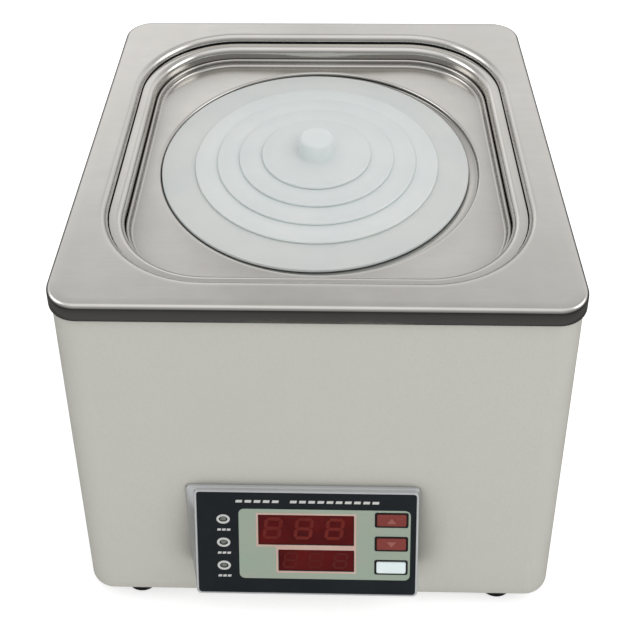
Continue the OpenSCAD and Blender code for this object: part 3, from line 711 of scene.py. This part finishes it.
def add_sheet(bm, rings, low, high):
    """Adds a flat sheet between two heights over the face: an outline, then any holes."""
    points = [p for ring in rings for p in ring]
    triangles = tessellate_polygon([[Vector((*p, 0)) for p in ring] for ring in rings])
    under = [bm.verts.new(on_face(x, y, low) * MM) for x, y in points]
    over = [bm.verts.new(on_face(x, y, high) * MM) for x, y in points]
    for a, b, c in triangles:
        bm.faces.new((over[a], over[b], over[c]))
        bm.faces.new((under[c], under[b], under[a]))
    start = 0
    for ring in rings:
        for i in range(len(ring)):
            j, k = start + i, start + (i + 1) % len(ring)
            bm.faces.new((under[j], under[k], over[k], over[j]))
        start += len(ring)


def sheets(name, shapes, low, high, material, body="housing"):
    """One piece from any number of flat sheets on the face."""
    bm = bmesh.new()
    for rings in shapes:
        add_sheet(bm, rings, low, high)
    bmesh.ops.recalc_face_normals(bm, faces=bm.faces)
    mesh = bpy.data.meshes.new(name)
    bm.to_mesh(mesh)
    bm.free()
    piece = add_mesh(name, mesh, material, body)
    for polygon in mesh.polygons:
        polygon.use_smooth = False
    return piece


def face_loop(a, b, radius, out, x=0.0, y=0.0, side=4, corner=8):
    return [on_face(x + p.x, y + p.y, out) for p in rounded_outline(a, b, radius, side, corner)]


def make_bezel():
    """Housing of the controller: it flares from its rim back to a wider foot on the casing."""
    foot_low, foot_high = BEZEL_LOW, BEZEL_HIGH
    wall_y = CASING_LOW.y
    foot_x = (foot_low.x + foot_high.x) / 2
    foot_z = (foot_low.z + foot_high.z) / 2
    foot_w = (foot_high.x - foot_low.x) / 2
    foot_h = (foot_high.z - foot_low.z) / 2

    def foot_loop(shrink, out, radius):
        outline = rounded_outline(foot_w - shrink, foot_h - shrink, radius, 4, 8)
        return [Vector((foot_x + p.x, wall_y - out, foot_z + p.y)) for p in outline]

    rim_a, rim_b, rim_y = FACE_W / 2 + 1.0, FACE_H / 2 + 0.62, -0.12
    rim_r, ease = 1.8, 0.55
    loops = [foot_loop(0.0, 0.05, 1.6), foot_loop(0.0, 0.9, 1.6), foot_loop(0.35, 1.3, 1.4)]
    loops += [face_loop(rim_a, rim_b, rim_r, 0.4 - ease - 0.6, y=rim_y)]
    for x, out in arc(rim_a - ease, 0.4 - ease, ease, 0, 90, 5):
        loops.append(face_loop(x, x - rim_a + rim_b, rim_r, out, y=rim_y))
    inner_a, inner_b = FACE_W / 2 + 0.05, FACE_H / 2 + 0.05
    loops += [face_loop(inner_a + 0.15, inner_b + 0.15, 1.6, 0.4)]
    loops += [face_loop(inner_a, inner_b, 1.5, 0.25), face_loop(inner_a, inner_b, 1.5, -1.2)]
    loops += [foot_loop(4.0, 1.0, 2.0), foot_loop(4.0, 0.05, 2.0)]
    bezel = skin("bezel_shell", loops, bezel_grey, "housing", closed=True, smooth_angle=40)
    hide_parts("controller_bezel")


def window_frame():
    """L-shaped outline round both windows."""
    x1, y1, w1, h1 = WINDOW_1
    x2, y2, w2, h2 = WINDOW_2
    grow = 1.05
    right, top, bottom = x2 + w2 / 2 + grow, y1 + h1 / 2 + grow, y2 - h2 / 2 - grow
    left_1, left_2, step = x1 - w1 / 2 - grow, x2 - w2 / 2 - grow, y1 - h1 / 2 - grow
    return [(right, bottom), (right, top), (left_1, top), (left_1, step), (left_2, step),
            (left_2, bottom)]


def button_rectangle(body):
    return (BUTTON_X, BUTTON_Y[body], *BUTTON_SIZE)


def make_prints():
    """Films and printed marks, each a thin sheet on the face."""
    frame_outline = window_frame()
    cut_outs = [face_rectangle(button_rectangle(body), 0.55, 0.9) for body in BUTTON_Y]
    inset = sheets("inset_film", [[face_rectangle(INSET, 0, 2.3), frame_outline, *cut_outs]],
                   0.02, FILM_T, film_green)
    lenses = [face_rectangle(w, 0.22, 0.3) for w in (WINDOW_1, WINDOW_2)]
    border = sheets("window_border", [[frame_outline, *lenses]], 0.02, FILM_T + 0.04, film_pink)
    # painted shade: a black ring round each button stands for the shade in the gap round its cap
    gap_rings = [[face_rectangle(button_rectangle(body), 0.5, 0.8),
               face_rectangle(button_rectangle(body), -0.12, 0.7)] for body in BUTTON_Y]
    surround = sheets("button_gap_shade", gap_rings, 0.02, 0.22, black_plastic)
    rings = [[face_ellipse(LAMP_X, y, 5.4, 4.3), face_ellipse(LAMP_X, y, 3.5, 2.5)] for y in LAMP_Y]
    rings_piece = sheets("lamp_rings", rings, 0.02, FILM_T, film_white)
    marks = []
    for y in LAMP_Y:
        for i in range(3):
            marks.append([dash(LAMP_X - 2.55 + 1.9 * i, y - 4.95, 1.45, 0.95)])
    for start, count in ((-28.4, 5), (-6.6, 10)):
        for i in range(count):
            marks.append([dash(start + 3.65 * i, 19.4, 2.6, 1.15)])
    dashes = sheets("printed_dashes", marks, 0.02, FILM_T, film_white)


def dash(x, y, w, h, slant=0.25):
    """Leaning bar that stands where a letter would."""
    return [(x, y - h / 2), (x + w, y - h / 2), (x + w + slant * h, y + h / 2), (x + slant * h, y + h / 2)]


def make_lamps():
    """Small oval domes in their printed rings."""
    bm_stacks = []
    for y in LAMP_Y:
        loops = [[on_face(px, py, -0.6) for px, py in face_ellipse(LAMP_X, y, 2.5, 1.7)]]
        for tip in range(5):
            t = math.radians(20 * tip)
            size = math.cos(t)
            loops.append([on_face(px, py, -0.05 + 0.35 * math.sin(t))
                          for px, py in face_ellipse(LAMP_X, y, 2.5 * size, 1.7 * size)])
        bm_stacks.append(loops)
    lamps = skin("lamp_domes", bm_stacks[0], lamp_clear, "housing", capped=True, more=bm_stacks[1:])
    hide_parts("status_lamps")


def seven_segments(x0, y0, w, h, t, slant):
    """The seven bars of one digit, leaning by slant."""
    gap = 0.1
    bars = []
    for y in (t / 2, h / 2, h - t / 2):
        bars.append([(t / 2 + gap, y), (t + gap, y - t / 2), (w - t - gap, y - t / 2),
                     (w - t / 2 - gap, y), (w - t - gap, y + t / 2), (t + gap, y + t / 2)])
    for x in (t / 2, w - t / 2):
        for low, high in ((t / 2, h / 2), (h / 2, h - t / 2)):
            bars.append([(x, low + gap), (x + t / 2, low + t / 2 + gap),
                         (x + t / 2, high - t / 2 - gap), (x, high - gap),
                         (x - t / 2, high - t / 2 - gap), (x - t / 2, low + t / 2 + gap)])
    return [[(x0 + x + slant * y, y0 + y) for x, y in bar] for bar in bars]


def make_digits():
    """Unlit segments that show faintly through the red windows."""
    # Name, corner of the first digit, pitch, width, height and bar width, material
    rows = [("main_digits", -17.9, 1.7, 12.45, 7.4, 10.2, 1.45, segment_red),
            ("lower_digits", -9.9, -12.0, 10.1, 5.9, 7.6, 1.05, segment_dim)]
    for name, x0, y0, pitch, w, h, t, material in rows:
        bars = []
        for i in range(3):
            bars += [[bar] for bar in seven_segments(x0 + pitch * i, y0, w, h, t, 0.13)]
        digits = sheets(name, bars, -0.12, -0.085, material)


def make_buttons():
    """Button caps with soft edges; two carry a raised arrow."""
    w, h = BUTTON_SIZE
    finish = {"up_button": button_red, "down_button": button_red, "set_button": button_white}
    for body, y in BUTTON_Y.items():
        a, b, ease, top = w / 2 - 0.3, h / 2 - 0.3, 0.4, 0.6
        loops = [face_loop(a, b, 0.7, -1.5, BUTTON_X, y), face_loop(a, b, 0.7, 0.0, BUTTON_X, y)]
        for x, out in arc(a - ease, top - ease, ease, 0, 80, 5):
            loops.append(face_loop(x, x - a + b, 0.7, out, BUTTON_X, y))
        loops.append(face_loop(a - 1.4, b - 1.4, 0.5, top, BUTTON_X, y))
        cap = skin(body + "_cap", loops, finish[body], body, capped=True)
        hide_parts(body)
    for body, sign in (("up_button", 1), ("down_button", -1)):
        y = BUTTON_Y[body] - 0.15 * sign
        arrow = [(BUTTON_X - 1.9 * sign, y - 1.15 * sign), (BUTTON_X + 1.9 * sign, y - 1.15 * sign),
                 (BUTTON_X, y + 1.35 * sign)]
        mark = sheets(body + "_arrow", [[arrow]], 0.55, 0.66, mark_red, body)


make_bezel()
make_prints()
make_lamps()
make_digits()
make_buttons()


# ---------------------------------------------------------------------------
# Feet
# ---------------------------------------------------------------------------

def make_feet():
    """Turned rubber feet with eased edges and a counterbored screw hole."""
    low, high = box_mm("feet")
    radius, top = 7.5, high.z
    profile = [(4.2, 0.4), (4.6, 0.0), (radius - 1.0, 0.0)]
    profile += arc(radius - 0.9, 0.9, 0.9, -60, 0, 3)
    profile += [(radius, top - 2.2), (radius - 0.5, top - 1.9), (radius - 0.5, top - 1.3)]
    profile += [(radius, top - 1.0), (radius, top - 0.3), (radius - 0.3, top), (2.3, top)]
    profile += [(2.3, 4.05), (4.2, 4.0)]
    stacks = []
    for x in (low.x + radius, high.x - radius):
        for y in (low.y + radius, high.y - radius):
            stacks.append([circle_loop(r, z, (x, y), 64) for r, z in profile])
    feet = skin("rubber_feet", stacks[0], rubber, "housing", closed=True, more=stacks[1:])
    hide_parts("feet")


make_feet()


# ---------------------------------------------------------------------------
# Camera, light and floor
# ---------------------------------------------------------------------------

FOOT_H = CASING_LOW.z
CAMERA_PLACE = Vector((CENTRE.x + 6.69, CENTRE.y - 388.1, FOOT_H + 454.9))
CAMERA_YAW, CAMERA_PITCH, CAMERA_ROLL = -1.72, 27.11, -0.70
FOCAL_LENGTH = 62.85
SHIFT_X, SHIFT_Y = 0.0047, -0.578


def held_only_at_home(data, path, value, camera):
    """Drives a lens shift that applies only while the camera stands at its own place."""
    driver = data.driver_add(path).driver
    driver.type = "SCRIPTED"
    for axis, letter in enumerate("xyz"):
        variable = driver.variables.new()
        variable.name = letter
        variable.targets[0].id = camera
        variable.targets[0].data_path = f"location[{axis}]"
    x, y, z = camera.location
    driver.expression = (
        f"{value} if abs(x - {x:.5f}) + abs(y - {y:.5f}) + abs(z - {z:.5f}) < 0.001 else 0.0")


def make_camera():
    yaw, pitch, roll = (math.radians(a) for a in (CAMERA_YAW, CAMERA_PITCH, CAMERA_ROLL))
    forward = Vector((math.sin(yaw) * math.cos(pitch), math.cos(yaw) * math.cos(pitch),
                      -math.sin(pitch)))
    level = Vector((math.cos(yaw), -math.sin(yaw), 0))
    upright = level.cross(forward)
    right = math.cos(roll) * level + math.sin(roll) * upright
    up = -math.sin(roll) * level + math.cos(roll) * upright
    data = bpy.data.cameras.new("camera")
    data.lens = FOCAL_LENGTH
    data.clip_start, data.clip_end = 0.01, 20
    camera = bpy.data.objects.new("camera", data)
    bpy.context.scene.collection.objects.link(camera)
    turn = Matrix((right, up, -forward)).transposed().to_4x4()
    camera.matrix_world = Matrix.Translation(CAMERA_PLACE * MM) @ turn
    held_only_at_home(data, "shift_x", SHIFT_X, camera)
    held_only_at_home(data, "shift_y", SHIFT_Y, camera)
    bpy.context.scene.camera = camera


def make_floor():
    bpy.ops.mesh.primitive_plane_add(size=8, location=(0, 0, 0))
    floor = bpy.context.object
    floor.name = "floor"
    r = Recipe("floor_paper")
    r.set(Base_Color=r.blend(r.spread(r.noise(3, 4), 0, 1), (250, 250, 250), (246, 246, 246)))
    r.set(Roughness=0.9, Specular_IOR_Level=0.1)
    path = r.tree.nodes.new("ShaderNodeLightPath")
    glow = r.spread(path.outputs["Is Camera Ray"], 0.25, 0.55, 0, 1)
    r.set(Emission_Color=(1, 1, 1, 1), Emission_Strength=glow)
    floor.data.materials.append(r.bump(r.noise(200, 3), 0.05, 0.001).material)
    floor.visible_glossy = False


def make_light(name, place, size, power, target=(0, 0, 0.1)):
    data = bpy.data.lights.new(name, "AREA")
    data.shape = "RECTANGLE"
    data.size, data.size_y = size
    data.energy = power
    light = bpy.data.objects.new(name, data)
    bpy.context.scene.collection.objects.link(light)
    light.location = place
    light.visible_glossy = False
    light.rotation_euler = (Vector(target) - Vector(place)).to_track_quat("-Z", "Y").to_euler()
    return light


# How bright reflections find the surround: (height of the ray's direction, level)
BACK_SKY = [(-1.0, 0.10), (-0.1, 0.05), (0.03, 0.12), (0.2, 0.5), (0.45, 0.85), (0.60, 0.75),
            (0.72, 0.50), (0.85, 0.52), (1.0, 1.0)]
FRONT_SKY = [(-1.0, 0.09), (-0.76, 0.07), (-0.6, 0.04), (-0.1, 0.04), (0.06, 0.26), (0.45, 0.38),
             (0.7, 0.52), (0.88, 0.9), (1.0, 1.0)]
# Bright panels that only reflections see: direction, how wide, how much they add
PANELS = [((-0.24, 0.83, 0.5), 0.24, 0.18), ((0.22, 0.75, 0.62), 0.26, 0.09),
          ((0.8, 0.0, 0.6), 0.42, 1.5), ((-0.8, 0.0, 0.6), 0.42, 1.5)]
# Even light: its level at the horizon and straight above, and how much it drops to the sides
DIFFUSE_LOW, DIFFUSE_HIGH, DIFFUSE_SIDE = 0.40, 1.03, 0.70


def make_world():
    """Studio surround: even for diffuse light; reflections see panels behind and at the sides."""
    world = bpy.data.worlds.new("studio")
    world.use_nodes = True
    tree = world.node_tree
    tree.nodes.clear()

    def node(kind, **values):
        made = tree.nodes.new(kind)
        for key, value in values.items():
            setattr(made, key, value)
        return made

    def feed(sockets, values):
        for socket, value in zip(sockets, values):
            if isinstance(value, bpy.types.NodeSocket):
                tree.links.new(value, socket)
            else:
                socket.default_value = value

    def mix(factor, first, second):
        made = node("ShaderNodeMix", data_type="FLOAT")
        feed((made.inputs[0], made.inputs[2], made.inputs[3]), (factor, first, second))
        return made.outputs[0]

    def math_node(operation, first, second):
        made = node("ShaderNodeMath", operation=operation)
        feed(made.inputs, (first, second))
        return made.outputs[0]

    def span(value, low, high, to_low, to_high):
        made = node("ShaderNodeMapRange", interpolation_type="SMOOTHSTEP")
        tree.links.new(value, made.inputs["Value"])
        made.inputs["From Min"].default_value = low
        made.inputs["From Max"].default_value = high
        made.inputs["To Min"].default_value = to_low
        made.inputs["To Max"].default_value = to_high
        return made.outputs[0]

    def ramp(value, stops):
        made = node("ShaderNodeValToRGB")
        tree.links.new(span_linear(value), made.inputs["Fac"])
        elements = made.color_ramp.elements
        for _ in stops[2:]:
            elements.new(0.5)
        for element, (height, level) in zip(elements, stops):
            element.position = (height + 1) / 2
            element.color = (level, level, level, 1)
        return made.outputs["Color"]

    def span_linear(value):
        made = node("ShaderNodeMapRange")
        tree.links.new(value, made.inputs["Value"])
        made.inputs["From Min"].default_value = -1
        return made.outputs[0]

    place = node("ShaderNodeTexCoord")
    split = node("ShaderNodeSeparateXYZ")
    tree.links.new(place.outputs["Generated"], split.inputs[0])
    x, y, z = split.outputs
    seen = mix(span(y, -0.35, 0.4, 0, 1), ramp(z, FRONT_SKY), ramp(z, BACK_SKY))
    for direction, width, gain in PANELS:
        away = node("ShaderNodeVectorMath", operation="DISTANCE")
        tree.links.new(place.outputs["Generated"], away.inputs[0])
        away.inputs[1].default_value = Vector(direction).normalized()
        seen = math_node("ADD", seen, span(away.outputs["Value"], width / 2, width, gain, 0.0))
    path = node("ShaderNodeLightPath")
    sides = span(math_node("ABSOLUTE", x, 0.0), 0.2, 1.0, 1.0, DIFFUSE_SIDE)
    soft = math_node("MULTIPLY", mix(z, DIFFUSE_LOW, DIFFUSE_HIGH), sides)
    level = mix(path.outputs["Is Glossy Ray"], soft, seen)
    level = mix(path.outputs["Is Camera Ray"], level, 1.0)
    background = node("ShaderNodeBackground")
    tree.links.new(level, background.inputs["Strength"])
    background.inputs["Color"].default_value = (1, 1, 1, 1)
    output = node("ShaderNodeOutputWorld")
    tree.links.new(background.outputs[0], output.inputs["Surface"])
    bpy.context.scene.world = world


KEY_PLACE, KEY_SIZE, KEY_POWER = (0.6, -0.6, 1.0), (0.8, 0.8), 2.6

make_camera()
make_floor()
make_world()
make_light("key", KEY_PLACE, KEY_SIZE, KEY_POWER)
bpy.context.scene.view_settings.view_transform = "Standard"
